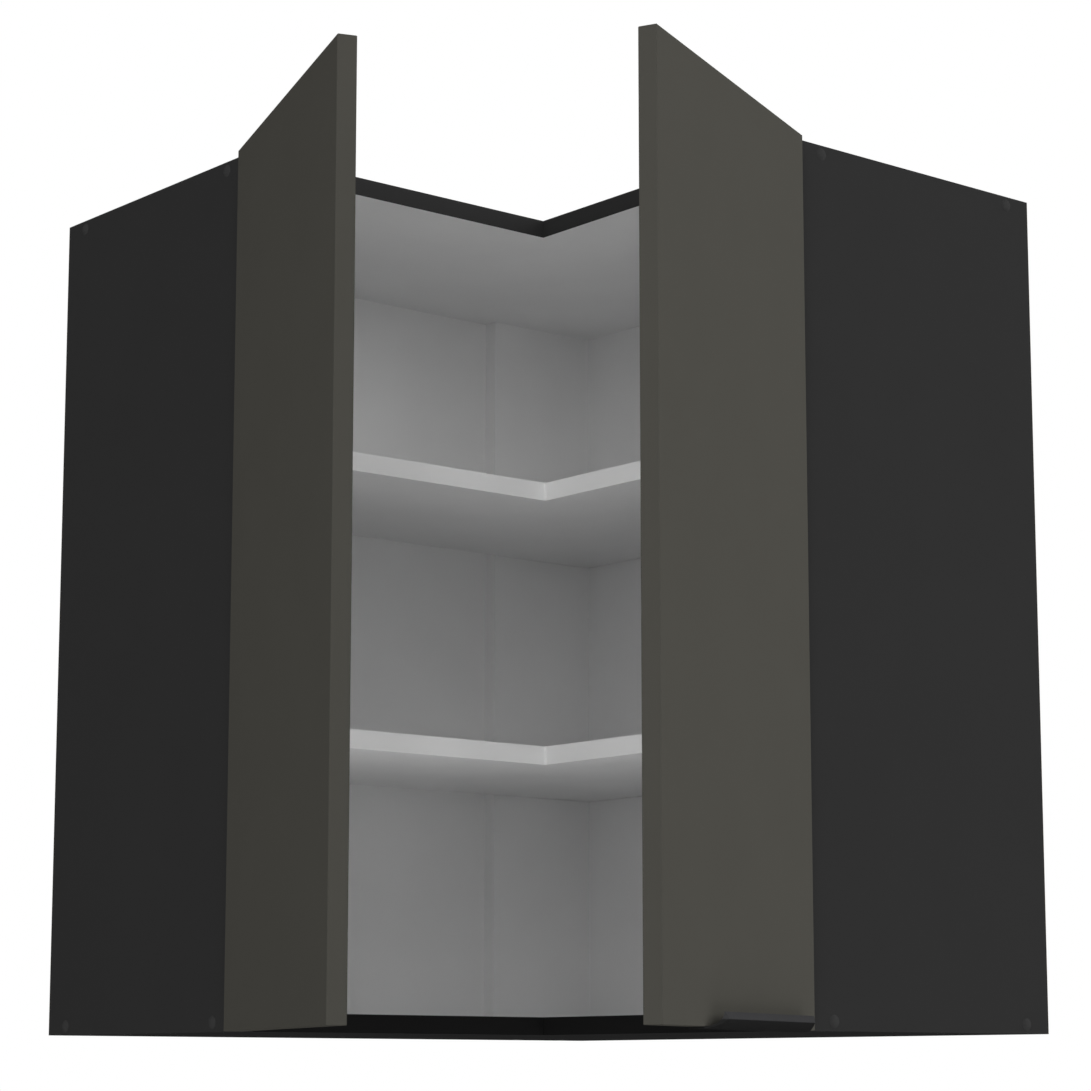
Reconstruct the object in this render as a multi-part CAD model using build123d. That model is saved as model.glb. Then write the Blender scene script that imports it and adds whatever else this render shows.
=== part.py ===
from build123d import *
import math
import os

# Corner wall cabinet: an L-shaped carcass for the corner of a kitchen, two doors
# hung on concealed cup hinges, two L-shaped shelves. All sizes in millimetres.
#
# Frame: the origin is the room corner at the level of the cabinet's underside.
# +X runs along the right-hand wall, -Y along the left-hand wall, +Z up.
#
# Both arms are drawn in the same arm coordinates: u runs along the wall away from
# the room corner, v stands off the wall into the room, z is up. The left arm is
# turned into place, the right arm is mirrored into place.

# Carcass
ARM_LENGTH = 600.0        # outer face of an end panel from the room corner
ARM_DEPTH = 287.5         # front of the carcass from its wall
HEIGHT = 716.0
BOARD = 15.0              # end panels, top and bottom
BAND = 1.0                # edging on the front edges
BACK = 3.0                # thin back sheets
BACK_RECESS = 9.0         # rear of a back sheet from the wall
GROOVE_DEPTH = 7.0
GROOVE_PLAY = 0.1
BATTEN_WIDTH = 120.0      # upright board that ties the two back sheets
BATTEN = 15.0

# Shelves
SHELF = 16.0
SHELF_COUNT = 2
SHELF_SETBACK = 15.0      # shelf front behind the carcass front
SHELF_END_PLAY = 1.0
SHELF_REAR_PLAY = 1.0
SHELF_CORNER_RADIUS = 2.0
PIN_RADIUS = 2.5
PIN_HOLE_DEPTH = 10.0
PIN_REACH = 8.0
PIN_PITCH = 32.0          # spare pin holes above and below
PIN_SETBACKS = (50.0, 240.0)
BATTEN_PIN_INSETS = (30.0, 100.0)
BATTEN_SCREW_INSETS = (30.0, 85.0)

# Doors
DOOR = 15.0
LEFT_DOOR_WIDTH = 297.0
RIGHT_DOOR_WIDTH = 288.5
LEFT_OPEN_ANGLE = 109.94   # from closed to the pose in the picture
RIGHT_OPEN_ANGLE = 114.06
DOOR_GAP = 1.5            # closed door's inner face in front of the carcass
DOOR_REVEAL = 1.5         # door's hinge edge inside the end panel's outer face
DOOR_ARRIS = 0.5

# Hinge, placed from the carcass front (forward) and the end panel's outer face (inward)
AXIS_FORWARD = 2.4        # door's turning axis
AXIS_INWARD = 2.6
HINGE_INSET = 100.0       # hinge from the top and the bottom of the door
CUP_RADIUS = 17.5
CUP_TAB = 4.0             # wood left between the cup and the door's edge
CUP_DEPTH = 12.0
CUP_WALL = 0.8
CUP_FLANGE = 1.2
CUP_FLANGE_RADIUS = 5.5
CUP_SCREW_SPREAD = 24.0
CUP_SCREW_OFFSET = 6.0
ARM_PIN_INSET = 8.5       # pivot on the arm, from the closed door's hinge edge
ARM_PIN_SINK = 8.5        # the same pivot, in front of the closed door's inner face
TIP_INSET = 24.0          # link's far end in the cup, from the door's hinge edge
TIP_SINK = 2.0
TIP_TRAVEL = 9.8          # how far the link's end slides in the cup
TIP_LIFT = 2.2
NECK_REACH = 0.5          # the arm bends toward its nose this far before the front
ARM_PIN_RADIUS = 1.0
TIP_PIN_RADIUS = 1.25
PIVOT_PLAY = 0.05
LINK_HALF = 4.0           # half the link's width
LINK_THICK = 2.4
KNUCKLE_RADIUS = 2.0
ARM_HALF = 6.0
ARM_RISE = 7.2
ARM_PLAY = 0.2
ARM_REAR = 58.0           # rear end of the arm behind the carcass front
EAR_THICK = 1.2
EAR_HALF = 6.6
EAR_RIM = 1.6             # ear left above and beside its slot
SLOT_PLAY = 0.35
LINK_PLAY = 0.6
PLATE = 2.4
PLATE_HALF = 7.0
WING_REACH = 22.0
WING_WIDTH = 14.0
PLATE_SCREW_SETBACK = 37.0
PLATE_SCREW_SPREAD = 16.0
PLATE_REAR_STEP = 2.0     # the arm overhangs its plate at the rear
ARM_SCREW_SETBACK = 50.0
ARM_SCREW_RADIUS = 2.0
ARM_SCREW_HEAD = 3.6
ARM_SCREW_HEAD_DEPTH = 1.8
ARM_SCREW_STOP = 0.6      # plate left under the arm screw

# Handle, on the lower edge of the right-hand door
HANDLE_START = 16.0       # from the door's hinge edge
HANDLE_LENGTH = 200.0
HANDLE_PLATE = 1.4
HANDLE_SEAT = 12.6        # plate under the door, back from the outer face
HANDLE_TIP_REACH = 10.0   # upper edge of the lip, outward from the door's face
HANDLE_TIP_RISE = 10.6
HANDLE_LIP_REACH = 12.4   # lower edge of the lip
HANDLE_LIP_RISE = 5.4
HANDLE_HOLLOW_REACH = 7.2 # middle of the hollow upper face
HANDLE_HOLLOW_RISE = 3.3
HANDLE_BELLY_REACH = 7.4  # middle of the rounded underside
HANDLE_BELLY_RISE = 1.3
HANDLE_MITRE = 1.25       # how much shorter the lip is, for each unit outward
HANDLE_SCREW_INSET = 24.0
HANDLE_FACE_PLAY = 0.1
HANDLE_LIP_BULGE = 0.35

# Fixings
FIXING_SETBACKS = (27.0, 252.0)
DOWEL_SETBACKS = (90.0, 190.0)
CABINET_SCREW_RADIUS = 3.3
CABINET_SCREW_LENGTH = 50.0
CABINET_SCREW_HEAD = 4.8
CABINET_SCREW_HEAD_DEPTH = 3.0
SOCKET_RADIUS = 2.2
SOCKET_DEPTH = 4.0
CAP_RADIUS = 5.25
CAP_RISE = 1.9
CAP_PEG = 1.8
CAP_PEG_LENGTH = 3.5
DOWEL_RADIUS = 4.0
DOWEL_LENGTH = 30.0
DOWEL_IN_PANEL = 10.0
HOLE_PLAY = 0.05
HOLE_END_PLAY = 1.0       # a blind hole is this much deeper than its screw or pin
SMALL_SCREW_RADIUS = 1.75
SMALL_SCREW_LENGTH = 11.0
SMALL_SCREW_HEAD = 3.2
SMALL_SCREW_HEAD_DEPTH = 1.1
BUMPER_RADIUS = 4.0
BUMPER_THICK = 1.2
BUMPER_INSET = 12.0

# Hangers in the top rear corners
HANGER_HEIGHT = 60.0
HANGER_LENGTH = 38.0
HANGER_THICK = 16.0
HANGER_DROP = 4.0         # below the top board
HANGER_WALL = 2.0
HOOK_THICK = 2.5
HOOK_HEIGHT = 14.0
HOOK_REACH = 7.0          # behind the back sheet
HOOK_LIP = 6.0
HOOK_PLAY = 0.3
HOOK_WINDOW_PLAY = 2.0    # around the hook in the back sheet
HANGER_SCREW_HEIGHTS = (0.25, 0.85)
HANGER_SLOT_DEPTH = 1.2
HANGER_SLOT_HALF = 0.5
HANGER_SLOT_SPAN = 2.2    # cross slot's arms from the screw's middle

CAVITY_LOW = BOARD
CAVITY_HIGH = HEIGHT - BOARD
PANEL_INNER = ARM_LENGTH - BOARD
BACK_FACE = BACK_RECESS + BACK
BATTEN_FACE = BACK_FACE + BATTEN
CORE_DEPTH = ARM_DEPTH - BAND
SHELF_FRONT = ARM_DEPTH - SHELF_SETBACK
SHELF_STEP = (CAVITY_HIGH - CAVITY_LOW - SHELF_COUNT * SHELF) / (SHELF_COUNT + 1)
SHELF_LEVELS = [CAVITY_LOW + SHELF_STEP + n * (SHELF + SHELF_STEP) for n in range(SHELF_COUNT)]
BOARD_LEVELS = (BOARD / 2, HEIGHT - BOARD / 2)
HINGE_LEVELS = (HINGE_INSET, HEIGHT - HINGE_INSET)
AXIS_U = ARM_LENGTH - AXIS_INWARD
AXIS_V = ARM_DEPTH + AXIS_FORWARD
DOOR_EDGE_U = ARM_LENGTH - DOOR_REVEAL
DOOR_INNER_V = ARM_DEPTH + DOOR_GAP
DOOR_OUTER_V = DOOR_INNER_V + DOOR
CUP_INSET = CUP_TAB + CUP_RADIUS
ARM_PIN = (DOOR_EDGE_U - ARM_PIN_INSET, DOOR_INNER_V + ARM_PIN_SINK)
CLOSED_TIP = (DOOR_EDGE_U - TIP_INSET, DOOR_INNER_V + TIP_SINK)
CABINET_SCREW = (
    CABINET_SCREW_RADIUS, CABINET_SCREW_LENGTH, CABINET_SCREW_HEAD, CABINET_SCREW_HEAD_DEPTH
)
SMALL_SCREW = (
    SMALL_SCREW_RADIUS, SMALL_SCREW_LENGTH, SMALL_SCREW_HEAD, SMALL_SCREW_HEAD_DEPTH
)
SIDES = ("left", "right")
DOOR_WIDTH = {"left": LEFT_DOOR_WIDTH, "right": RIGHT_DOOR_WIDTH}
OPEN_ANGLE = {"left": LEFT_OPEN_ANGLE, "right": RIGHT_OPEN_ANGLE}

os.makedirs("parts", exist_ok=True)


def block(u, v, z):
    """A box between two limits in each direction."""
    corner = Pos(u[0], v[0], z[0])
    return corner * Box(u[1] - u[0], v[1] - v[0], z[1] - z[0], align=(Align.MIN,) * 3)


def prism(outline, low, high):
    """A closed outline in the u-v plane, raised from one level to another."""
    face = make_face(Polyline(*outline, close=True))
    return Pos(0, 0, low) * extrude(face, high - low)


def rod(radius, start, direction, length):
    """A round bar from a point along an axis direction."""
    plane = Plane(origin=start, z_dir=direction)
    return plane * Cylinder(radius, length, align=(Align.CENTER, Align.CENTER, Align.MIN))


def upright(radius, u, v, low, high):
    """A round bar standing on the u-v plane."""
    return rod(radius, (u, v, low), (0, 0, 1), high - low)


def on_arm(shape, side):
    """Arm coordinates to the place of that arm in the room."""
    if side == "left":
        return shape.rotate(Axis.Z, -90)
    return mirror(shape, about=Plane.XZ)


def opened(shape, side):
    """A closed door's piece, turned to where the photographed door stands."""
    axis = Axis((AXIS_U, AXIS_V, 0), (0, 0, 1))
    return shape.rotate(axis, -OPEN_ANGLE[side])


def cut(shape, tools):
    """A shape with each tool taken out of it."""
    for tool in tools:
        shape = shape - tool
    return shape


def save(name, *shapes):
    """One node's file, with each of its pieces as a solid of its own."""
    solids = [solid for shape in shapes for solid in shape.solids()]
    export_step(Compound(solids), f"parts/{name}.step")


def corner_outline(rear_left, rear_right, run, front):
    """L-shaped outline in room coordinates, both arms alike except at the rear."""
    return [
        (rear_left, -rear_right),
        (run, -rear_right),
        (run, -front),
        (front, -front),
        (front, -run),
        (rear_left, -run),
    ]


# ---------------------------------------------------------------- fixings

def countersunk(start, direction, size, play=0.0):
    """Screw with its conical head flush with the start point, or the hole it needs."""
    radius, length, head, head_depth = size
    plane = Plane(origin=start, z_dir=direction)
    low = (Align.CENTER, Align.CENTER, Align.MIN)
    depth = length + (HOLE_END_PLAY if play else 0)
    shank = plane * Cylinder(radius + play, depth, align=low)
    return shank + plane * Cone(head + play, radius + play, head_depth, align=low)


def socketed(start, direction):
    """Cabinet screw with a six-sided socket in its head."""
    plane = Plane(origin=start, z_dir=direction)
    socket = plane * extrude(RegularPolygon(SOCKET_RADIUS, 6), SOCKET_DEPTH)
    return countersunk(start, direction, CABINET_SCREW) - socket


def panel_screw_place(level, setback):
    """Cabinet screw from an end panel's outer face into the end of a board."""
    return (ARM_LENGTH, setback, level), (-1, 0, 0)


def batten_screw_place(low, n):
    """Cabinet screw through the top or bottom board into the end of the batten."""
    upward = low < HEIGHT / 2
    across = (BACK_FACE + BATTEN_FACE) / 2
    along = -(BACK_FACE + BATTEN_SCREW_INSETS[n])
    return (across, along, 0 if upward else HEIGHT), (0, 0, 1 if upward else -1)


def screw_cap(level, setback):
    """Domed cover cap with a peg that presses into the screw's socket."""
    sphere = (CAP_RADIUS**2 + CAP_RISE**2) / (2 * CAP_RISE)
    sink = sphere - CAP_RISE
    plane = Plane(origin=(ARM_LENGTH - sink, setback, level), z_dir=(1, 0, 0))
    dome = plane * Sphere(sphere, math.degrees(math.asin(sink / sphere)), align=None)
    peg = rod(CAP_PEG, (ARM_LENGTH, setback, level), (-1, 0, 0), CAP_PEG_LENGTH)
    return dome + peg


def dowel(level, setback, play=0.0):
    """Wooden dowel across the joint of an end panel and a board."""
    start = (PANEL_INNER + DOWEL_IN_PANEL + play, setback, level)
    return rod(DOWEL_RADIUS + play, start, (-1, 0, 0), DOWEL_LENGTH + 2 * play)


def joint_positions(setbacks):
    """Level and setback of every fixing of one kind on one end panel."""
    return [(level, setback) for level in BOARD_LEVELS for setback in setbacks]


def shelf_pin(level, setback, play=0.0, reach=PIN_REACH):
    """Shelf support in an end panel, level with the underside of its shelf."""
    start = (PANEL_INNER + PIN_HOLE_DEPTH, setback, level)
    return rod(PIN_RADIUS + play, start, (-1, 0, 0), PIN_HOLE_DEPTH + reach)


def pin_level(shelf_level):
    """Middle of the pins that carry a shelf."""
    return shelf_level - PIN_RADIUS


def batten_pin(shelf_level, inset, play=0.0):
    """Hidden pin from the batten into a shelf's rear edge, in room coordinates."""
    start = (BATTEN_FACE - PIN_HOLE_DEPTH, -(BACK_FACE + inset), shelf_level + SHELF / 2)
    reach = PIN_HOLE_DEPTH + PIN_REACH + (HOLE_END_PLAY if play else 0)
    return rod(PIN_RADIUS + play, start, (1, 0, 0), reach)


# ---------------------------------------------------------------- hangers

def hanger_span():
    """Limits of a hanger's housing in u, v and z."""
    top = CAVITY_HIGH - HANGER_DROP
    return (
        (PANEL_INNER - HANGER_THICK, PANEL_INNER),
        (BACK_FACE + HOOK_PLAY, BACK_FACE + HOOK_PLAY + HANGER_LENGTH),
        (top - HANGER_HEIGHT, top),
    )


def hook_profile_limits():
    """Limits of the hook's tongue: across the housing, and in height."""
    u, v, z = hanger_span()
    middle = (u[0] + u[1]) / 2
    level = z[1] - HANGER_HEIGHT / 3
    return (middle - HOOK_THICK, middle + HOOK_THICK), (level - HOOK_HEIGHT, level)


def hanger_housing():
    """Plastic box on the end panel that holds the hook and its screws."""
    u, v, z = hanger_span()
    inner = HANGER_WALL
    shell = block(u, v, z) - block(
        (u[0] + inner, u[1] - inner), (v[0] - 1, v[1] - inner), (z[0] + inner, z[1] - inner)
    )
    screws = [hanger_screw_hole(n) for n in range(2)]
    return cut(shell, screws)


def hanger_screw_axis(n):
    """The two adjusting screws, one above the other."""
    u, v, z = hanger_span()
    return (u[0] + u[1]) / 2, v[1], z[0] + HANGER_HEIGHT * HANGER_SCREW_HEIGHTS[n]


def hanger_screw_hole(n):
    """Hole in the housing's front for an adjusting screw."""
    centre, front, level = hanger_screw_axis(n)
    radius = SMALL_SCREW_HEAD + HOLE_PLAY
    return rod(radius, (centre, front + 1, level), (0, -1, 0), HANGER_WALL + 2)


def hanger_screw(n):
    """Adjusting screw with a cross slot, flush with the housing's front."""
    centre, front, level = hanger_screw_axis(n)
    reach = HANGER_LENGTH - HANGER_WALL
    body = rod(SMALL_SCREW_HEAD, (centre, front, level), (0, -1, 0), reach)
    depth = (front - HANGER_SLOT_DEPTH, front + 1)
    spans = [(HANGER_SLOT_SPAN, HANGER_SLOT_HALF), (HANGER_SLOT_HALF, HANGER_SLOT_SPAN)]
    slots = [block((centre - a, centre + a), depth, (level - b, level + b)) for a, b in spans]
    return cut(body, slots)


def hanger_hook():
    """Steel tongue through the back sheet, with a lip that drops behind a wall rail."""
    u, z = hook_profile_limits()
    rear = BACK_RECESS - HOOK_REACH
    span = hanger_span()[1]
    tongue = block(u, (rear, span[1] - HANGER_WALL - HOOK_PLAY), z)
    lip = block(u, (rear, rear + HOOK_THICK), (z[0] - HOOK_LIP, z[1]))
    return tongue + lip


def hanger_window():
    """Opening in a back sheet for the hook."""
    u, z = hook_profile_limits()
    side = HOOK_WINDOW_PLAY
    return block(
        (u[0] - side, u[1] + side),
        (BACK_RECESS - 1, BACK_FACE + 1),
        (z[0] - HOOK_LIP - side, z[1] + side),
    )


# ---------------------------------------------------------------- carcass

def end_panel():
    """End panel without its front band, drilled and grooved."""
    panel = block((PANEL_INNER, ARM_LENGTH), (0, CORE_DEPTH), (0, HEIGHT))
    groove = block(
        (PANEL_INNER - 1, PANEL_INNER + GROOVE_DEPTH + GROOVE_PLAY),
        (BACK_RECESS - GROOVE_PLAY, BACK_FACE + GROOVE_PLAY),
        (-1, HEIGHT + 1),
    )
    tools = [groove]
    screws = [panel_screw_place(*place) for place in joint_positions(FIXING_SETBACKS)]
    tools += [countersunk(*screw, CABINET_SCREW, HOLE_PLAY) for screw in screws]
    tools += [dowel(*place, play=HOLE_PLAY) for place in joint_positions(DOWEL_SETBACKS)]
    tools += panel_pin_holes()
    tools += [plate_screw(level, n, HOLE_PLAY) for level in HINGE_LEVELS for n in (-1, 1)]
    return cut(panel, tools)


def panel_pin_holes():
    """Pin holes in use, and one spare above and below each."""
    holes = []
    for shelf_level in SHELF_LEVELS:
        for step in (-1, 0, 1):
            level = pin_level(shelf_level) + step * PIN_PITCH
            holes += [shelf_pin(level, setback, HOLE_PLAY, 1) for setback in PIN_SETBACKS]
    return holes


def end_panel_band():
    return block((PANEL_INNER, ARM_LENGTH), (CORE_DEPTH, ARM_DEPTH), (0, HEIGHT))


def corner_board(low):
    """Top or bottom board, in room coordinates, drilled at both ends."""
    board = prism(corner_outline(0, 0, PANEL_INNER, CORE_DEPTH), low, low + BOARD)
    level = low + BOARD / 2
    screws = [panel_screw_place(level, setback) for setback in FIXING_SETBACKS]
    ends = [countersunk(*screw, CABINET_SCREW, HOLE_PLAY) for screw in screws]
    ends += [dowel(level, setback, HOLE_PLAY) for setback in DOWEL_SETBACKS]
    tools = [on_arm(end, side) for end in ends for side in SIDES]
    return cut(board, tools + batten_screw_holes(low))


def corner_board_grooves():
    """Grooves for both back sheets, at the level of the bottom board."""
    near = BACK_RECESS - GROOVE_PLAY
    far = BACK_FACE + GROOVE_PLAY
    low = BOARD - GROOVE_DEPTH - GROOVE_PLAY
    return prism(corner_outline(near, near, PANEL_INNER + 1, far), low, BOARD + 1)


def bottom_board():
    return corner_board(0) - corner_board_grooves()


def top_board():
    grooves = mirror(corner_board_grooves(), about=Plane((0, 0, HEIGHT / 2), z_dir=(0, 0, 1)))
    return corner_board(CAVITY_HIGH) - grooves


def corner_band(low, high, run, front, radius=0.0):
    """Edging along an L-shaped front, in room coordinates."""
    inner = front - BAND
    outline = [
        (run, -inner), (run, -front), (front, -front),
        (front, -run), (inner, -run), (inner, -inner),
    ]
    band = prism(outline, low, high)
    return rounded_notch(band, front, radius)


def rounded_notch(shape, front, radius):
    """Round the upright inside corner where the two fronts meet."""
    if radius <= 0:
        return shape
    near = [e for e in shape.edges().filter_by(Axis.Z)
            if abs(e.center().X - front) < 0.01 and abs(e.center().Y + front) < 0.01]
    return fillet(near, radius)


def shelf(level):
    """L-shaped shelf in room coordinates; its rear edge takes the batten's pins."""
    rear_left = BATTEN_FACE + SHELF_REAR_PLAY
    rear_right = BACK_FACE + SHELF_REAR_PLAY
    run = PANEL_INNER - SHELF_END_PLAY
    outline = corner_outline(rear_left, rear_right, run, SHELF_FRONT - BAND)
    board = prism(outline, level, level + SHELF)
    return cut(board, [batten_pin(level, inset, HOLE_PLAY) for inset in BATTEN_PIN_INSETS])


def shelf_band(level):
    run = PANEL_INNER - SHELF_END_PLAY
    return corner_band(level, level + SHELF, run, SHELF_FRONT, SHELF_CORNER_RADIUS)


def back_sheet(side):
    """Thin back sheet in its grooves; the right-hand one stops at the left-hand one."""
    start = BACK_RECESS if side == "left" else BACK_FACE + GROOVE_PLAY
    sheet = block(
        (start, PANEL_INNER + GROOVE_DEPTH),
        (BACK_RECESS, BACK_FACE),
        (CAVITY_LOW - GROOVE_DEPTH, CAVITY_HIGH + GROOVE_DEPTH),
    )
    return on_arm(sheet - hanger_window(), side)


def corner_batten():
    """Upright board behind the corner, fixed through top and bottom."""
    body = block(
        (BACK_FACE, BATTEN_FACE), (-BACK_FACE - BATTEN_WIDTH, -BACK_FACE),
        (CAVITY_LOW, CAVITY_HIGH),
    )
    holes = batten_screw_holes(0) + batten_screw_holes(CAVITY_HIGH)
    holes += [
        batten_pin(level, inset, HOLE_PLAY)
        for level in SHELF_LEVELS for inset in BATTEN_PIN_INSETS
    ]
    return cut(body, holes)


def batten_screw_holes(low):
    """Holes of the two screws through the top or the bottom board."""
    places = [batten_screw_place(low, n) for n in range(2)]
    return [countersunk(*place, CABINET_SCREW, HOLE_PLAY) for place in places]


# ---------------------------------------------------------------- doors

def door_board(side):
    """Door board, closed, with its hinge and screw holes."""
    board = block(
        (DOOR_EDGE_U - DOOR_WIDTH[side], DOOR_EDGE_U), (DOOR_INNER_V, DOOR_OUTER_V), (0, HEIGHT)
    )
    board = chamfer(board.edges(), DOOR_ARRIS)
    tools = []
    for level in HINGE_LEVELS:
        centre = Pos(DOOR_EDGE_U - CUP_INSET, 0, level)
        tools.append(centre * rod(
            CUP_RADIUS + HOLE_PLAY, (0, DOOR_INNER_V - 1, 0), (0, 1, 0), CUP_DEPTH + 1 + HOLE_PLAY
        ))
        tools += [cup_screw(level, n, HOLE_PLAY) for n in (-1, 1)]
    if side == "right":
        tools += [handle_screw(n, HOLE_PLAY) for n in range(2)]
    return cut(board, tools)


def bumper(side, level):
    """Soft stop on the door's inner face, near its free edge."""
    u = DOOR_EDGE_U - DOOR_WIDTH[side] + BUMPER_INSET
    return rod(BUMPER_RADIUS, (u, DOOR_INNER_V, level), (0, -1, 0), BUMPER_THICK)


# ---------------------------------------------------------------- cup hinge

def cup_screw(level, n, play=0.0):
    """Screw through the cup's flange into the door, or its hole."""
    u = DOOR_EDGE_U - CUP_INSET - CUP_SCREW_OFFSET
    start = (u, DOOR_INNER_V - CUP_FLANGE, level + n * CUP_SCREW_SPREAD)
    return countersunk(start, (0, 1, 0), SMALL_SCREW, play)


def hinge_cup(level):
    """Pressed cup with its screw flange, and two ears slotted for the link's end."""
    start = (DOOR_EDGE_U - CUP_INSET, DOOR_INNER_V - CUP_FLANGE, level)
    depth = CUP_DEPTH + CUP_FLANGE
    outer = rod(CUP_RADIUS, start, (0, 1, 0), depth)
    inner = rod(CUP_RADIUS - CUP_WALL, start, (0, 1, 0), depth - CUP_WALL)
    cup = outer + cup_flange(level) - inner
    cup = cup + cup_ear(level, -1) + cup_ear(level, 1)
    return cut(cup, [cup_screw(level, n, HOLE_PLAY) for n in (-1, 1)])


def cup_flange(level):
    """Flat flange with rounded ends under the two cup screws."""
    u = DOOR_EDGE_U - CUP_INSET - CUP_SCREW_OFFSET
    radius = CUP_FLANGE_RADIUS
    v = DOOR_INNER_V - CUP_FLANGE
    bar = block(
        (u - radius, u + radius), (v, DOOR_INNER_V),
        (level - CUP_SCREW_SPREAD, level + CUP_SCREW_SPREAD),
    )
    ends = [
        rod(radius, (u, v, level + n * CUP_SCREW_SPREAD), (0, 1, 0), CUP_FLANGE) for n in (-1, 1)
    ]
    return bar + ends[0] + ends[1]


def cup_ear(level, n):
    """Upright ear across the cup with a slot that guides the link's end pin."""
    edges = (level + n * EAR_HALF, level + n * (EAR_HALF + EAR_THICK))
    z = (min(edges), max(edges))
    bite = CUP_WALL / 2
    chord = math.sqrt((CUP_RADIUS - bite) ** 2 - (EAR_HALF + EAR_THICK) ** 2)
    slot_u, slot_v = ear_slot()
    ear = block(
        (DOOR_EDGE_U - CUP_INSET - chord, slot_u[1] + EAR_RIM),
        (slot_v[0] - EAR_RIM, DOOR_INNER_V + CUP_DEPTH - bite), z,
    )
    return ear - block(slot_u, slot_v, (z[0] - 1, z[1] + 1))


def ear_slot():
    """Limits in u and v of the slot that the link's end pin slides in."""
    side = TIP_PIN_RADIUS + SLOT_PLAY
    near = DOOR_EDGE_U - TIP_INSET + side
    far = DOOR_EDGE_U - TIP_INSET - TIP_TRAVEL - side
    low = DOOR_INNER_V + TIP_SINK - TIP_LIFT - side
    high = DOOR_INNER_V + TIP_SINK + side
    return (far, near), (low, high)


def turned(point, degrees):
    """A point of the closed door after the door has opened by an angle."""
    angle = math.radians(degrees)
    du = point[0] - AXIS_U
    dv = point[1] - AXIS_V
    return (
        AXIS_U + du * math.cos(angle) + dv * math.sin(angle),
        AXIS_V - du * math.sin(angle) + dv * math.cos(angle),
    )


def slope(start, end):
    """Direction from one point to another in the u-v plane, in degrees."""
    return math.degrees(math.atan2(end[1] - start[1], end[0] - start[0]))


def hinge_link(side, level):
    """Flat link from the arm's pivot to the cup, round at both ends."""
    tip = turned(CLOSED_TIP, OPEN_ANGLE[side])
    length = math.dist(ARM_PIN, tip)
    z = (-LINK_HALF, LINK_HALF)
    bar = block((0, length), (-LINK_THICK / 2, LINK_THICK / 2), z)
    knuckles = [upright(KNUCKLE_RADIUS, u, 0, *z) for u in (0, length)]
    holes = [
        upright(ARM_PIN_RADIUS + PIVOT_PLAY, 0, 0, z[0] - 1, z[1] + 1),
        upright(TIP_PIN_RADIUS, length, 0, z[0] - 1, z[1] + 1),
    ]
    link = cut(bar + knuckles[0] + knuckles[1], holes)
    return Pos(*ARM_PIN, level) * link.rotate(Axis.Z, slope(ARM_PIN, tip))


def link_tip_pin(side, level):
    """Pin through the link's far end, its ends in the slots of the ears."""
    tip = turned(CLOSED_TIP, OPEN_ANGLE[side])
    reach = EAR_HALF + EAR_THICK
    return upright(TIP_PIN_RADIUS, *tip, level - reach, level + reach)


def arm_pivot_pin(level):
    """Rivet through the nose of the arm."""
    return upright(ARM_PIN_RADIUS, *ARM_PIN, level - ARM_HALF, level + ARM_HALF)


def arm_outline():
    """Arm seen from above: a straight bar that tapers round the panel to its nose."""
    seat = PANEL_INNER - PLATE - HOLE_PLAY
    half = ARM_RISE / 2
    front = ARM_DEPTH + NECK_REACH
    rear = ARM_DEPTH - ARM_REAR
    bar = make_face(Polyline(
        (seat - ARM_RISE, rear), (seat, rear), (seat, front), (seat - ARM_RISE, front),
        close=True,
    ))
    knee = Pos(seat - half, front) * Circle(half)
    nose = Pos(*ARM_PIN) * Circle(KNUCKLE_RADIUS)
    return bar + make_hull(knee.edges() + nose.edges())


def hinge_arm(level):
    """Hinge arm on its mounting plate, forked at the nose for the link."""
    arm = Pos(0, 0, level - ARM_HALF) * extrude(arm_outline(), 2 * ARM_HALF)
    fork = LINK_HALF + ARM_PLAY
    reach = KNUCKLE_RADIUS + LINK_PLAY
    channel = block((-reach, CUP_RADIUS), (-CUP_RADIUS, LINK_THICK / 2 + LINK_PLAY), (-fork, fork))
    channel = Pos(*ARM_PIN, level) * channel.rotate(Axis.Z, slope(ARM_PIN, CLOSED_TIP))
    eye = upright(reach, *ARM_PIN, level - fork, level + fork)
    hole = upright(ARM_PIN_RADIUS, *ARM_PIN, level - ARM_HALF - 1, level + ARM_HALF + 1)
    return cut(arm, [channel, eye, hole, arm_screw(level, HOLE_PLAY)])


def arm_screw(level, play=0.0):
    """Screw that holds the arm down on its plate."""
    top = PANEL_INNER - PLATE - HOLE_PLAY - ARM_RISE
    start = (top, ARM_DEPTH - ARM_SCREW_SETBACK, level)
    depth = PANEL_INNER - ARM_SCREW_STOP - top
    shank = rod(ARM_SCREW_RADIUS + play, start, (1, 0, 0), depth + play)
    head = rod(ARM_SCREW_HEAD + play, start, (1, 0, 0), ARM_SCREW_HEAD_DEPTH + play)
    return shank + head


def plate_screw(level, n, play=0.0):
    """Screw through a wing of the mounting plate into the end panel, or its hole."""
    setback = ARM_DEPTH - PLATE_SCREW_SETBACK
    start = (PANEL_INNER - PLATE, setback, level + n * PLATE_SCREW_SPREAD)
    return countersunk(start, (1, 0, 0), SMALL_SCREW, play)


def mounting_plate(level):
    """Cross-shaped plate on the end panel's inner face."""
    u = (PANEL_INNER - PLATE, PANEL_INNER)
    centre = ARM_DEPTH - PLATE_SCREW_SETBACK
    rear = ARM_DEPTH - ARM_REAR + PLATE_REAR_STEP
    spine = block(u, (rear, centre + WING_WIDTH), (level - PLATE_HALF, level + PLATE_HALF))
    wings = block(
        u, (centre - WING_WIDTH / 2, centre + WING_WIDTH / 2),
        (level - WING_REACH, level + WING_REACH),
    )
    screws = [plate_screw(level, n, HOLE_PLAY) for n in (-1, 1)]
    return cut(spine + wings, screws + [arm_screw(level, HOLE_PLAY)])


# ---------------------------------------------------------------- handle

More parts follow.
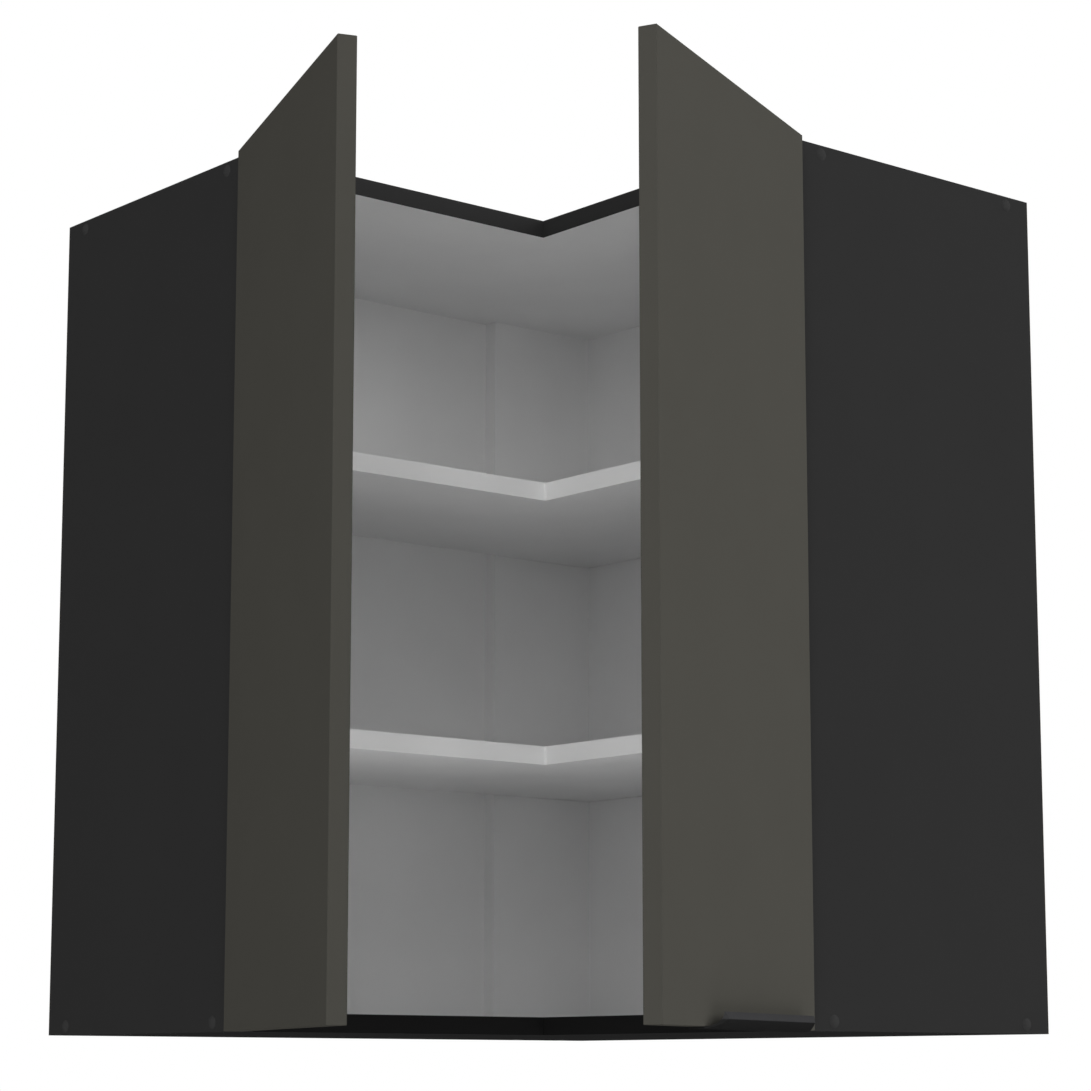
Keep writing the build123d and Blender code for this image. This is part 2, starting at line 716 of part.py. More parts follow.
def handle_section():
    """Handle seen along the door's lower edge: x outward from the door's face, y up."""
    plate_front = (0, -HANDLE_PLATE)
    plate = Polyline(
        (HANDLE_FACE_PLAY, 0), (-HANDLE_SEAT, 0), (-HANDLE_SEAT, -HANDLE_PLATE), plate_front
    )
    tip = (HANDLE_TIP_REACH, HANDLE_TIP_RISE)
    lip = (HANDLE_LIP_REACH, HANDLE_LIP_RISE)
    lip_middle = ((tip[0] + lip[0]) / 2 + HANDLE_LIP_BULGE, (tip[1] + lip[1]) / 2)
    belly = ThreePointArc(plate_front, (HANDLE_BELLY_REACH, HANDLE_BELLY_RISE), lip)
    front = ThreePointArc(lip, lip_middle, tip)
    hollow = ThreePointArc(
        tip, (HANDLE_HOLLOW_REACH, HANDLE_HOLLOW_RISE), (HANDLE_FACE_PLAY, 0)
    )
    return make_face([plate, belly, front, hollow])


def handle():
    """Curved edge pull, its ends cut back toward the lip."""
    start = DOOR_EDGE_U - HANDLE_START
    end = start - HANDLE_LENGTH
    plane = Plane(origin=(end, DOOR_OUTER_V, 0), x_dir=(0, 1, 0), z_dir=(1, 0, 0))
    bar = extrude(plane * handle_section(), HANDLE_LENGTH)
    tools = [handle_end_cut(start, 1), handle_end_cut(end, -1)]
    tools += [handle_screw(n, HOLE_PLAY) for n in range(2)]
    return cut(bar, tools)


def handle_end_cut(u, side):
    """Wedge that shortens the lip at one end of the handle."""
    reach = 2 * HANDLE_LIP_REACH
    v = DOOR_OUTER_V
    beyond = u + side * HANDLE_LIP_REACH
    back = u - side * HANDLE_MITRE * reach
    outline = [(beyond, v), (u, v), (back, v + reach), (beyond, v + reach)]
    return prism(outline, -reach, reach)


def handle_screw(n, play=0.0):
    """Screw from below, through the handle's plate into the door's lower edge."""
    inset = HANDLE_SCREW_INSET if n == 0 else HANDLE_LENGTH - HANDLE_SCREW_INSET
    start = (DOOR_EDGE_U - HANDLE_START - inset, DOOR_OUTER_V - DOOR / 2, -HANDLE_PLATE)
    return countersunk(start, (0, 0, 1), SMALL_SCREW, play)


# ---------------------------------------------------------------- build

def save_arm(name, side, *shapes):
    save(name, *[on_arm(shape, side) for shape in shapes])


def save_open(name, side, *shapes):
    save(name, *[on_arm(opened(shape, side), side) for shape in shapes])


def build_carcass():
    save("top_board", top_board())
    save("bottom_board", bottom_board())
    save("top_front_band", corner_band(CAVITY_HIGH, HEIGHT, PANEL_INNER, ARM_DEPTH))
    save("bottom_front_band", corner_band(0, BOARD, PANEL_INNER, ARM_DEPTH))
    save("corner_batten", corner_batten())
    places = [batten_screw_place(low, n) for low in (0, CAVITY_HIGH) for n in range(2)]
    save("batten_screws", *[socketed(*place) for place in places])
    for side in SIDES:
        save_arm(f"end_panel_{side}", side, end_panel())
        save_arm(f"end_panel_band_{side}", side, end_panel_band())
        save(f"back_sheet_{side}", back_sheet(side))


def build_shelves():
    for name, level in zip(("lower", "upper"), SHELF_LEVELS):
        save(f"shelf_{name}", shelf(level))
        save(f"shelf_band_{name}", shelf_band(level))
    places = [(pin_level(level), setback) for level in SHELF_LEVELS for setback in PIN_SETBACKS]
    pins = [on_arm(shelf_pin(*place), side) for place in places for side in SIDES]
    pins += [batten_pin(level, inset) for level in SHELF_LEVELS for inset in BATTEN_PIN_INSETS]
    save("shelf_pins", *pins)


def build_fixings():
    screws = joint_positions(FIXING_SETBACKS)
    dowels = joint_positions(DOWEL_SETBACKS)
    panel_screws = [socketed(*panel_screw_place(*p)) for p in screws]
    save("cabinet_screws", *[on_arm(screw, side) for screw in panel_screws for side in SIDES])
    save("screw_caps", *[on_arm(screw_cap(*p), side) for p in screws for side in SIDES])
    save("wood_dowels", *[on_arm(dowel(*p), side) for p in dowels for side in SIDES])
    save("hanger_housings", *[on_arm(hanger_housing(), side) for side in SIDES])
    save("hanger_hooks", *[on_arm(hanger_hook(), side) for side in SIDES])
    save("hanger_screws", *[on_arm(hanger_screw(n), side) for n in range(2) for side in SIDES])


def build_door(side):
    save_open(f"door_{side}", side, door_board(side))
    save_open(f"door_bumpers_{side}", side, *[bumper(side, level) for level in BOARD_LEVELS])
    save_open(f"hinge_cups_{side}", side, *[hinge_cup(level) for level in HINGE_LEVELS])
    cup_screws = [cup_screw(level, n) for level in HINGE_LEVELS for n in (-1, 1)]
    save_open(f"cup_screws_{side}", side, *cup_screws)


def build_hinges(side):
    save_arm(f"hinge_arms_{side}", side, *[hinge_arm(level) for level in HINGE_LEVELS])
    save_arm(f"hinge_rivets_{side}", side, *[arm_pivot_pin(level) for level in HINGE_LEVELS])
    save_arm(f"hinge_links_{side}", side, *[hinge_link(side, level) for level in HINGE_LEVELS])
    save_arm(f"link_pins_{side}", side, *[link_tip_pin(side, level) for level in HINGE_LEVELS])
    save_arm(f"hinge_plates_{side}", side, *[mounting_plate(level) for level in HINGE_LEVELS])
    plate_screws = [plate_screw(level, n) for level in HINGE_LEVELS for n in (-1, 1)]
    save_arm(f"plate_screws_{side}", side, *plate_screws)
    save_arm(f"arm_screws_{side}", side, *[arm_screw(level) for level in HINGE_LEVELS])


def build_handle():
    save_open("door_handle", "right", handle())
    save_open("handle_screws", "right", handle_screw(0), handle_screw(1))


build_carcass()
build_shelves()
build_fixings()
for arm_side in SIDES:
    build_door(arm_side)
    build_hinges(arm_side)
build_handle()
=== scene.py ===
# %% [markdown]
# # Corner wall cabinet
#
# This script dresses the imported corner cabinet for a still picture. The boards, edgings,
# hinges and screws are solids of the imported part, and their shapes and places stay as they
# are. The script adds the finishes, a camera, soft lights and a pale floor.
#
# Lengths are metres. The origin is the room corner at the cabinet's underside, +X runs
# along the right-hand wall, -Y along the left-hand wall, and +Z is up.

import math

import bpy
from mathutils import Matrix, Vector

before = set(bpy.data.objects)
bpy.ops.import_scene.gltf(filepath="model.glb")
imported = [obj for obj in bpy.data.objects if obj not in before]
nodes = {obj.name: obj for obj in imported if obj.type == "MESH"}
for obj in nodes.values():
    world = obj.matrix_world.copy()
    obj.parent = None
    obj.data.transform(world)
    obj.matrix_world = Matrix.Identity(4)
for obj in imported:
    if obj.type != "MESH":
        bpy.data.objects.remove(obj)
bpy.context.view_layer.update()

# %% [markdown]
# ## Colours
#
# Each colour is written as display values from 0 to 255, as a paint program shows them. A
# shader takes linear values instead. Those could be typed in, but display values are easier
# to compare with a picture, so a small function converts them.

# %% From display values to linear values
DISPLAY_WHITE = 255
MIDDLE_GREY = (128, 128, 128)


def linear(colour):
    """Display values from 0 to 255 as a shader's linear colour, by the sRGB curve."""
    parts = []
    for value in colour:
        share = value / DISPLAY_WHITE
        low = share / 12.92
        high = ((share + 0.055) / 1.055) ** 2.4
        parts.append(low if share <= 0.04045 else high)
    return (*parts, 1.0)


print("middle grey", MIDDLE_GREY, "is", linear(MIDDLE_GREY))

# %% [markdown]
# ## Start a finish
#
# Every finish is one principled shader. Its pattern could come from a scanned picture, but
# that needs an unwrapped mesh. Noise on object coordinates needs none, has no seams, and
# stays on its board when the board moves.

# %% A node, and a material to fill
MATT = 0.0
SATIN = 0.5


def add(tree, kind, **settings):
    """A new shader node with some of its settings filled in."""
    node = tree.nodes.new(kind)
    for name, value in settings.items():
        setattr(node, name, value)
    return node


def start_material(name, roughness, metallic=0.0, gloss=MATT):
    """A material with a principled shader, and its object coordinates."""
    material = bpy.data.materials.new(name)
    material.use_nodes = True
    tree = material.node_tree
    shader = tree.nodes["Principled BSDF"]
    shader.inputs["Roughness"].default_value = roughness
    shader.inputs["Metallic"].default_value = metallic
    shader.inputs["Specular IOR Level"].default_value = gloss
    coordinates = add(tree, "ShaderNodeTexCoord")
    return material, tree, shader, coordinates.outputs["Object"]


print("gloss: matt", MATT, "satin", SATIN)

# %% [markdown]
# ## Uneven colour and fine bumps
#
# No real surface has exactly one colour. A soft noise makes it a little darker in one place
# and lighter in another, and a much finer noise tilts the surface a little. Real dents in
# the mesh would need far too many faces for something this small.

# %% Noise, mottle and bump
PLAIN_DETAIL = 3.0
FINE_DETAIL = 6.0
DARK_STOP = 0.3
LIGHT_STOP = 0.7
BUMP_DEPTH = 0.0001


def noise(tree, where, scale, detail=PLAIN_DETAIL):
    """Noise between 0 and 1 on the given coordinates."""
    node = add(tree, "ShaderNodeTexNoise")
    node.inputs["Scale"].default_value = scale
    node.inputs["Detail"].default_value = detail
    tree.links.new(where, node.inputs["Vector"])
    return node.outputs["Fac"]


def mottled(tree, factor, colour, spread):
    """A colour that gets a little darker and lighter with the factor."""
    ramp = add(tree, "ShaderNodeValToRGB")
    red, green, blue, alpha = linear(colour)
    dark, light = ramp.color_ramp.elements
    dark.position, light.position = DARK_STOP, LIGHT_STOP
    for element, gain in ((dark, 1 - spread), (light, 1 + spread)):
        element.color = (red * gain, green * gain, blue * gain, alpha)
    tree.links.new(factor, ramp.inputs["Fac"])
    return ramp.outputs["Color"]


def bump(tree, shader, height, strength):
    """Raise the surface by the given height map."""
    node = add(tree, "ShaderNodeBump")
    node.inputs["Strength"].default_value = strength
    node.inputs["Distance"].default_value = BUMP_DEPTH
    tree.links.new(height, node.inputs["Height"])
    tree.links.new(node.outputs["Normal"], shader.inputs["Normal"])


print("bumps are at most", BUMP_DEPTH, "m deep")

# %% [markdown]
# ## Choose a colour by place
#
# The faces of one board don't all have the same colour. Each face could be given a material
# slot of its own. Here the shader looks at where a point lies on the board and chooses the
# colour from that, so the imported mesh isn't touched.

# %% Coordinates and sums
FACE_TOLERANCE = 0.00004
MM_PER_METRE = 1000


def coordinate(tree, where, axis):
    """The X, Y or Z of a place."""
    split = add(tree, "ShaderNodeSeparateXYZ")
    tree.links.new(where, split.inputs["Vector"])
    return split.outputs[axis]


def calculate(tree, operation, *values):
    """The result of a math node; each value is a number or another node's output."""
    node = add(tree, "ShaderNodeMath", operation=operation)
    for socket, value in zip(node.inputs, values):
        if isinstance(value, float):
            socket.default_value = value
        else:
            tree.links.new(value, socket)
    return node.outputs["Value"]


def on_plane(tree, where, axis, value):
    """1 on the plane where one coordinate has the value, 0 elsewhere."""
    here = coordinate(tree, where, axis)
    return calculate(tree, "COMPARE", here, value, FACE_TOLERANCE)


print("a face counts as on its plane within", FACE_TOLERANCE * MM_PER_METRE, "mm")

# %% [markdown]
# ## Blend two colours
#
# A factor of 0 gives the first colour and a factor of 1 the second. Where the change should
# be soft, the factor comes from a ramp: it grows evenly while another value runs from one
# end to the other. A Mix node's sockets for numbers, vectors and colours share their names,
# so the colour ones are picked by number.

# %% Ramp and blend
MIX_FACTOR = 0
MIX_COLOURS = (6, 7)
MIX_RESULT = 2


def ramp_between(tree, value, start, end, low=0.0, high=1.0):
    """A value that runs from low to high while its input runs from start to end."""
    node = add(tree, "ShaderNodeMapRange")
    ends = {"From Min": start, "From Max": end, "To Min": low, "To Max": high}
    for socket, number in ends.items():
        node.inputs[socket].default_value = number
    tree.links.new(value, node.inputs["Value"])
    return node.outputs["Result"]


def blend_colours(tree, factor, first, second):
    """The first colour where the factor is 0, the second where it is 1."""
    mix = add(tree, "ShaderNodeMix", data_type="RGBA")
    for socket, source in zip((MIX_FACTOR, *MIX_COLOURS), (factor, first, second)):
        tree.links.new(source, mix.inputs[socket])
    return mix.outputs[MIX_RESULT]


print("colour sockets of a mix:", MIX_COLOURS)

# %% [markdown]
# ## Plain boards
#
# The boards are chipboard with a coloured, resin-soaked paper pressed on, which has a very
# fine even grain and hardly any gloss. Doors and shelves have one colour all over, so they
# take the plain form of this finish, and so does the dark edging on the front edges.

# %% Melamine finish
BOARD_ROUGHNESS = 0.5
MOTTLE_SCALE = 14.0
MOTTLE_SPREAD = 0.015
GRAIN_SCALE = 900.0
GRAIN_BUMP = 0.06


def start_board(name, roughness=BOARD_ROUGHNESS):
    """A board material with its grain, and the cloudy noise that mottles its colour."""
    material, tree, shader, where = start_material(name, roughness)
    bump(tree, shader, noise(tree, where, GRAIN_SCALE), GRAIN_BUMP)
    return material, tree, shader, where, noise(tree, where, MOTTLE_SCALE)


def melamine(name, colour):
    """A plain board finish with a fine grain."""
    material, tree, shader, where, cloud = start_board(name)
    surface = mottled(tree, cloud, colour, MOTTLE_SPREAD)
    tree.links.new(surface, shader.inputs["Base Color"])
    return material


print("board roughness:", BOARD_ROUGHNESS)

# %% [markdown]
# ## Boards of the shell
#
# The end panels, the top and the bottom are dark graphite outside and white on the face
# that looks into the cabinet. Their rear edges were sawn and never covered, so chipboard
# shows there. Planes tell these places apart: one for the inner face and one for each rear
# edge. The bottom's underside is given a slightly darker tone, which is painted shade.

# %% Two-sided boards
GRAPHITE = (37, 37, 37)
# painted shade: the underside of the bottom board is set darker than the graphite
SHADED_UNDERSIDE = (34, 34, 34)
WHITE_BOARD = (232, 232, 232)
CHIPBOARD = (186, 158, 118)
CHIP_SCALE = 420.0
CHIP_SPREAD = 0.3


def shell_board(name, inner, raw_edges, outside=GRAPHITE):
    """Dark board: white on its inner plane, raw on the listed edge planes."""
    material, tree, shader, where, cloud = start_board(name)
    colour = mottled(tree, cloud, outside, MOTTLE_SPREAD)
    white = mottled(tree, cloud, WHITE_BOARD, MOTTLE_SPREAD)
    colour = blend_colours(tree, on_plane(tree, where, *inner), colour, white)
    chips = noise(tree, where, CHIP_SCALE, FINE_DETAIL)
    raw = mottled(tree, chips, CHIPBOARD, CHIP_SPREAD)
    for plane in raw_edges:
        colour = blend_colours(tree, on_plane(tree, where, *plane), colour, raw)
    tree.links.new(colour, shader.inputs["Base Color"])
    return material


print("graphite:", linear(GRAPHITE))

# %% [markdown]
# ## Back sheets
#
# The two thin sheets behind the cabinet are hardboard: brown pressed fibre with white
# lacquer on the inner side only. The inner side is found by its plane, as on the boards.

# %% Lacquered hardboard
SHEET_ROUGHNESS = 0.55
HARDBOARD = (150, 112, 74)
FIBRE_SCALE = 300.0
FIBRE_SPREAD = 0.18


def back_sheet(name, axis, value):
    """Hardboard, lacquered white on its inner plane."""
    material, tree, shader, where, cloud = start_board(name, SHEET_ROUGHNESS)
    white = mottled(tree, cloud, WHITE_BOARD, MOTTLE_SPREAD)
    fibres = noise(tree, where, FIBRE_SCALE, FINE_DETAIL)
    brown = mottled(tree, fibres, HARDBOARD, FIBRE_SPREAD)
    inside = on_plane(tree, where, axis, value)
    colour = blend_colours(tree, inside, brown, white)
    tree.links.new(colour, shader.inputs["Base Color"])
    return material


print("hardboard:", linear(HARDBOARD))

# %% [markdown]
# ## Where each board is white or raw
#
# The planes follow from the cabinet's own sizes: its arms are 600 mm long, it is 716 mm
# high and its boards are 15 mm thick. The back sheets' white faces lie 12 mm in front of
# the walls.

# %% Finishes of shell and back
BOARD = 0.015
ARM = 0.600
HEIGHT = 0.716
INNER = ARM - BOARD
BACK_FACE = 0.012
REAR_EDGES = [("X", 0.0), ("Y", 0.0)]

boards = {
    "end_panel_left": shell_board("left panel finish", ("Y", -INNER), [("X", 0.0)]),
    "end_panel_right": shell_board("right panel finish", ("X", INNER), [("Y", 0.0)]),
    "top_board": shell_board("top finish", ("Z", HEIGHT - BOARD), REAR_EDGES),
    "bottom_board": shell_board("bottom finish", ("Z", BOARD), REAR_EDGES, SHADED_UNDERSIDE),
    "back_sheet_left": back_sheet("left back finish", "X", BACK_FACE),
    "back_sheet_right": back_sheet("right back finish", "Y", -BACK_FACE),
}
print("two-sided boards:", sorted(boards))

# %% [markdown]
# ## Shelf edging
#
# A white strip of plastic covers the front of each shelf and bends tightly round its inner
# corner. The bend faces the camera squarely and would catch more light than the straight
# runs, so painted shade takes its tone down a little. The corner lies where X + Y is 0, so
# the size of that sum tells how far a point is from the bend.

# %% White edging with painted shade on the bend
WHITE_EDGE = (234, 234, 234)
NOTCH_SHADE_TONE = 0.94
NOTCH_RADIUS = 0.002


def notch_edging(name, colour, tone):
    """Edging for a shelf front, with painted shade where it bends round the notch."""
    material, tree, shader, where, cloud = start_board(name)
    x_and_y = [coordinate(tree, where, axis) for axis in "XY"]
    distance = calculate(tree, "ABSOLUTE", calculate(tree, "ADD", *x_and_y))
    bend = ramp_between(tree, distance, NOTCH_RADIUS, 0.0)
    flat = mottled(tree, cloud, colour, MOTTLE_SPREAD)
    # painted shade on the bend of the edging
    shaded_bend = mottled(tree, cloud, [value * tone for value in colour], MOTTLE_SPREAD)
    tree.links.new(blend_colours(tree, bend, flat, shaded_bend), shader.inputs["Base Color"])
    return material


print("edging at the bend:", WHITE_EDGE[0] * NOTCH_SHADE_TONE)

# %% [markdown]
# ## Plated metal
#
# Hinges are nickel plated and screws and pins are zinc plated. Both are smooth but not a
# mirror. A full metal shader with a middle roughness does this, and a slow noise in the
# colour keeps wide faces from looking like one flat tone.

# %% Nickel and zinc
NICKEL = (205, 203, 198)
NICKEL_ROUGHNESS = 0.28
ZINC = (165, 165, 163)
ZINC_ROUGHNESS = 0.35
POLISH_SCALE = 220.0
POLISH_SPREAD = 0.04
PLATE_SCALE = 1500.0
PLATE_BUMP = 0.05
FULL_METAL = 1.0


def metal(name, colour, roughness):
    """Plated metal with a slightly uneven polish."""
    material, tree, shader, where = start_material(name, roughness, FULL_METAL, SATIN)
    polish = mottled(tree, noise(tree, where, POLISH_SCALE), colour, POLISH_SPREAD)
    tree.links.new(polish, shader.inputs["Base Color"])
    bump(tree, shader, noise(tree, where, PLATE_SCALE), PLATE_BUMP)
    return material


print("nickel:", linear(NICKEL))

# %% [markdown]
# ## Coated metal and plastic
#
# The pull is coated with baked powder, which has a fine pebbled skin. The caps, the soft
# stops and the hangers' housings are moulded plastic with much the same skin. Below its lip
# the pull is painted darker by height, as painted shade where less light reaches under the
# lip.

# %% Powder coat and plastic
COAT_ROUGHNESS = 0.42
COAT_SCALE = 60.0
COAT_SPREAD = 0.02
PEBBLE_SCALE = 2600.0
PEBBLE_BUMP = 0.10
LIP_EDGE = (0.0049, 0.0057)


def start_coat(name, roughness=COAT_ROUGHNESS, gloss=MATT):
    """A pebbled material, and the cloudy noise that mottles its colour."""
    material, tree, shader, where = start_material(name, roughness, gloss=gloss)
    bump(tree, shader, noise(tree, where, PEBBLE_SCALE), PEBBLE_BUMP)
    return material, tree, shader, where, noise(tree, where, COAT_SCALE)


def powder_coat(name, colour, **surface):
    """Coated metal or plastic with a fine pebbled surface."""
    material, tree, shader, where, cloud = start_coat(name, **surface)
    coat = mottled(tree, cloud, colour, COAT_SPREAD)
    tree.links.new(coat, shader.inputs["Base Color"])
    return material


def pull_coat(name, colour, shade_colour):
    """Powder coat for the pull, with painted shade on what lies below the lip."""
    material, tree, shader, where, cloud = start_coat(name)
    on_lip = ramp_between(tree, coordinate(tree, where, "Z"), *LIP_EDGE)
    shaded_lower = mottled(tree, cloud, shade_colour, COAT_SPREAD)
    upper = mottled(tree, cloud, colour, COAT_SPREAD)
    tree.links.new(blend_colours(tree, on_lip, shaded_lower, upper), shader.inputs["Base Color"])
    return material


print("the lip begins at", LIP_EDGE[0] * MM_PER_METRE, "mm")

# %% [markdown]
# ## Dowels
#
# Wooden dowels hold the boards beside the screws. They are turned beech with fine streaks,
# and hardly any of them shows, so one noise makes both the colour and the bumps.

# %% Beech
BEECH = (206, 178, 138)
BEECH_ROUGHNESS = 0.6
STREAK_SCALE = 180.0
STREAK_SPREAD = 0.15
STREAK_BUMP = 0.1


def beech(name):
    """Turned beech with fine streaks."""
    material, tree, shader, where = start_material(name, BEECH_ROUGHNESS)
    streaks = noise(tree, where, STREAK_SCALE, FINE_DETAIL)
    wood = mottled(tree, streaks, BEECH, STREAK_SPREAD)
    tree.links.new(wood, shader.inputs["Base Color"])
    bump(tree, shader, streaks, STREAK_BUMP)
    return material


print("beech:", linear(BEECH))

# %% [markdown]
# ## All finishes
#
# Each finish is made once and shared by every piece that has it, so a change of one colour
# changes all of those pieces. The bottom board's front edging is set darker than the edging
# elsewhere, which is painted shade. The black screw coat shares that black.

# %% The shared finishes
OLIVE = (59, 58, 54)
EDGE_BLACK = (40, 40, 40)
# painted shade on the bottom band's edging; the handle screws' own black uses the same value
SHADED_LOW_EDGE_AND_SCREW_BLACK = (24, 24, 24)
HANDLE_BLACK = (46, 46, 47)
# painted shade: the pull's faces below its lip are set darker than the lip
HANDLE_PAINTED_SHADE = (28, 28, 28)
CAP_GREY = (44, 44, 44)
STOP_GREY = (215, 215, 212)
STOP_ROUGHNESS = 0.3
HANGER_WHITE = (225, 225, 223)
HANGER_ROUGHNESS = 0.45

finishes = {
    "door": melamine("door finish", OLIVE),
    "white": melamine("shelf finish", WHITE_BOARD),
    "white edging": notch_edging("white edging", WHITE_EDGE, NOTCH_SHADE_TONE),
    "edging": melamine("dark edging", EDGE_BLACK),
    "shaded bottom edging": melamine("bottom edging with painted shade", SHADED_LOW_EDGE_AND_SCREW_BLACK),
    "handle": pull_coat("handle coat", HANDLE_BLACK, HANDLE_PAINTED_SHADE),
    "nickel": metal("nickel plate", NICKEL, NICKEL_ROUGHNESS),
    "zinc": metal("zinc plate", ZINC, ZINC_ROUGHNESS),
    "black screw": powder_coat("black screw coat", SHADED_LOW_EDGE_AND_SCREW_BLACK),
    "cap": powder_coat("cap plastic", CAP_GREY),
    "soft": powder_coat("soft stop", STOP_GREY, roughness=STOP_ROUGHNESS, gloss=SATIN),
    "plastic": powder_coat(
        "hanger plastic", HANGER_WHITE, roughness=HANGER_ROUGHNESS, gloss=SATIN
    ),
    "beech": beech("dowel beech"),
}
print("finishes:", sorted(finishes))

# %% [markdown]
# ## Put the finishes on
#
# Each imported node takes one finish. Materials could be picked by hand in the editor, but a
# table shows at a glance what every piece is made of. A node with a left and a right copy
# is listed once.

# %% Pieces with a left and a right copy
PAIRS = {
    "door": "door",
    "door_bumpers": "soft",
    "end_panel_band": "edging",
    "hinge_cups": "nickel",
    "hinge_arms": "nickel",
    "hinge_plates": "nickel",
    "hinge_links": "nickel",
    "hinge_rivets": "zinc",
    "link_pins": "zinc",
    "cup_screws": "zinc",
    "plate_screws": "zinc",
    "arm_screws": "zinc",
}
print("pairs:", len(PAIRS))

# %% Single pieces
SINGLES = {
    "top_front_band": "edging",
    "bottom_front_band": "shaded bottom edging",
    "shelf_band_lower": "white edging",
    "shelf_band_upper": "white edging",
    "shelf_lower": "white",
    "shelf_upper": "white",
    "corner_batten": "white",
    "door_handle": "handle",
    "handle_screws": "black screw",
    "cabinet_screws": "zinc",
    "batten_screws": "zinc",
    "shelf_pins": "zinc",
    "hanger_hooks": "zinc",
    "hanger_screws": "zinc",
    "hanger_housings": "plastic",
    "screw_caps": "cap",
    "wood_dowels": "beech",
}
print("singles:", len(SINGLES))

# %% Dress every node
chosen = dict(boards)
for name, finish in SINGLES.items():
    chosen[name] = finishes[finish]
for name, finish in PAIRS.items():
    for side in ("left", "right"):
        chosen[f"{name}_{side}"] = finishes[finish]
for name, node in nodes.items():
    node.data.materials.clear()
    node.data.materials.append(chosen[name])
print("dressed:", len(nodes), "of", len(chosen))

# %% [markdown]
# ## Camera
#
# The picture is taken from in front of the concave corner with a long lens, a little below
# the cabinet's underside, so the undersides of the shelves show. A level camera with its
# picture shifted far up would keep the uprights parallel. Most of that is done by tilting
# the camera up, because a large shift would push the cabinet out of views from other sides.

# %% Camera
EYE = Vector((2.25902, -1.92643, -0.03555))
YAW = math.radians(140.217)
PITCH = math.radians(9.095)
LENS = 98.40
SENSOR_WIDTH = 36.0
RISE = 0.05

camera_data = bpy.data.cameras.new("camera")
camera_data.lens = LENS
camera_data.sensor_width = SENSOR_WIDTH
camera_data.shift_y = RISE
camera = bpy.data.objects.new("camera", camera_data)
level = math.cos(PITCH)
aim = Vector((math.cos(YAW) * level, math.sin(YAW) * level, math.sin(PITCH)))
camera.location = EYE
camera.rotation_mode = "QUATERNION"
camera.rotation_quaternion = aim.to_track_quat("-Z", "Y")
bpy.context.scene.collection.objects.link(camera)
bpy.context.scene.camera = camera
print("camera at", tuple(EYE), "lens", LENS)

# %% [markdown]
# ## Light
#
# Five large soft lights stand round the front: one behind the camera, one high above it,
# one to each side of it, and a stronger one at the far right, which makes the right-hand
# door and panel lighter than the left-hand ones. A sixth stands behind the cabinet for
# views of the back. Small lamps would cast hard shadows of the doors; lights three metres
# wide keep every shadow soft. Each light is placed by its direction and distance from the
# middle of the cabinet, because these are easier to reason about than coordinates.

# %% Lights
MIDDLE = Vector((0.25, -0.25, 0.36))
LIGHT_SIDE = 3.0


def soft_light(name, azimuth, elevation, distance, watts):
    """A square area light round the cabinet's middle; angles in degrees, +X is 0."""
    data = bpy.data.lights.new(name, "AREA")
    data.shape = "SQUARE"
    data.size = LIGHT_SIDE
    data.energy = watts
    light = bpy.data.objects.new(name, data)
    turn = math.radians(azimuth)
    rise = math.radians(elevation)
    flat = math.cos(rise)
    away = Vector((math.cos(turn) * flat, math.sin(turn) * flat, math.sin(rise)))
    light.location = MIDDLE + away * distance
    light.rotation_mode = "QUATERNION"
    light.rotation_quaternion = away.to_track_quat("Z", "Y")
    light.visible_camera = False
    bpy.context.scene.collection.objects.link(light)
    return light


lights = [
    soft_light("side", 62, 22, 4.5, 213.0),
    soft_light("front", -44, 8, 4.0, 63.0),
    soft_light("high", -44, 42, 5.0, 72.0),
    soft_light("right", 0, 10, 5.0, 100.0),
    soft_light("left", -90, 10, 5.0, 107.0),
    soft_light("back", 135, 25, 4.5, 50.0),
]
print("lights:", [light.name for light in lights])

# %% [markdown]
# ## Sky
#
# The background is plain white. A white sky at full strength would also light the cabinet
# from all sides and wash out its shading. So the sky asks what kind of ray has met it: it
# is white for the camera, in reflections and through glass, and dim for everything else.

# %% White background, dim light
WHITE = (1.0, 1.0, 1.0, 1.0)
WHITE_STRENGTH = 1.0
SKY_LIGHT = 0.20


def in_picture(tree):
    """1 for rays that come from the camera, a reflection or glass, 0 for light."""
    rays = add(tree, "ShaderNodeLightPath").outputs
    seen = calculate(tree, "MAXIMUM", rays["Is Camera Ray"], rays["Is Glossy Ray"])
    return calculate(tree, "MAXIMUM", seen, rays["Is Transmission Ray"])


def blend_shaders(tree, factor, first, second):
    """The first shader where the factor is 0, the second where it is 1."""
    mix = add(tree, "ShaderNodeMixShader")
    for socket, source in zip(mix.inputs, (factor, first, second)):
        tree.links.new(source, socket)
    return mix.outputs["Shader"]


def plain_sky(tree, strength):
    """An even white sky of the given strength."""
    sky = add(tree, "ShaderNodeBackground")
    sky.inputs["Color"].default_value = WHITE
    sky.inputs["Strength"].default_value = strength
    return sky.outputs["Background"]


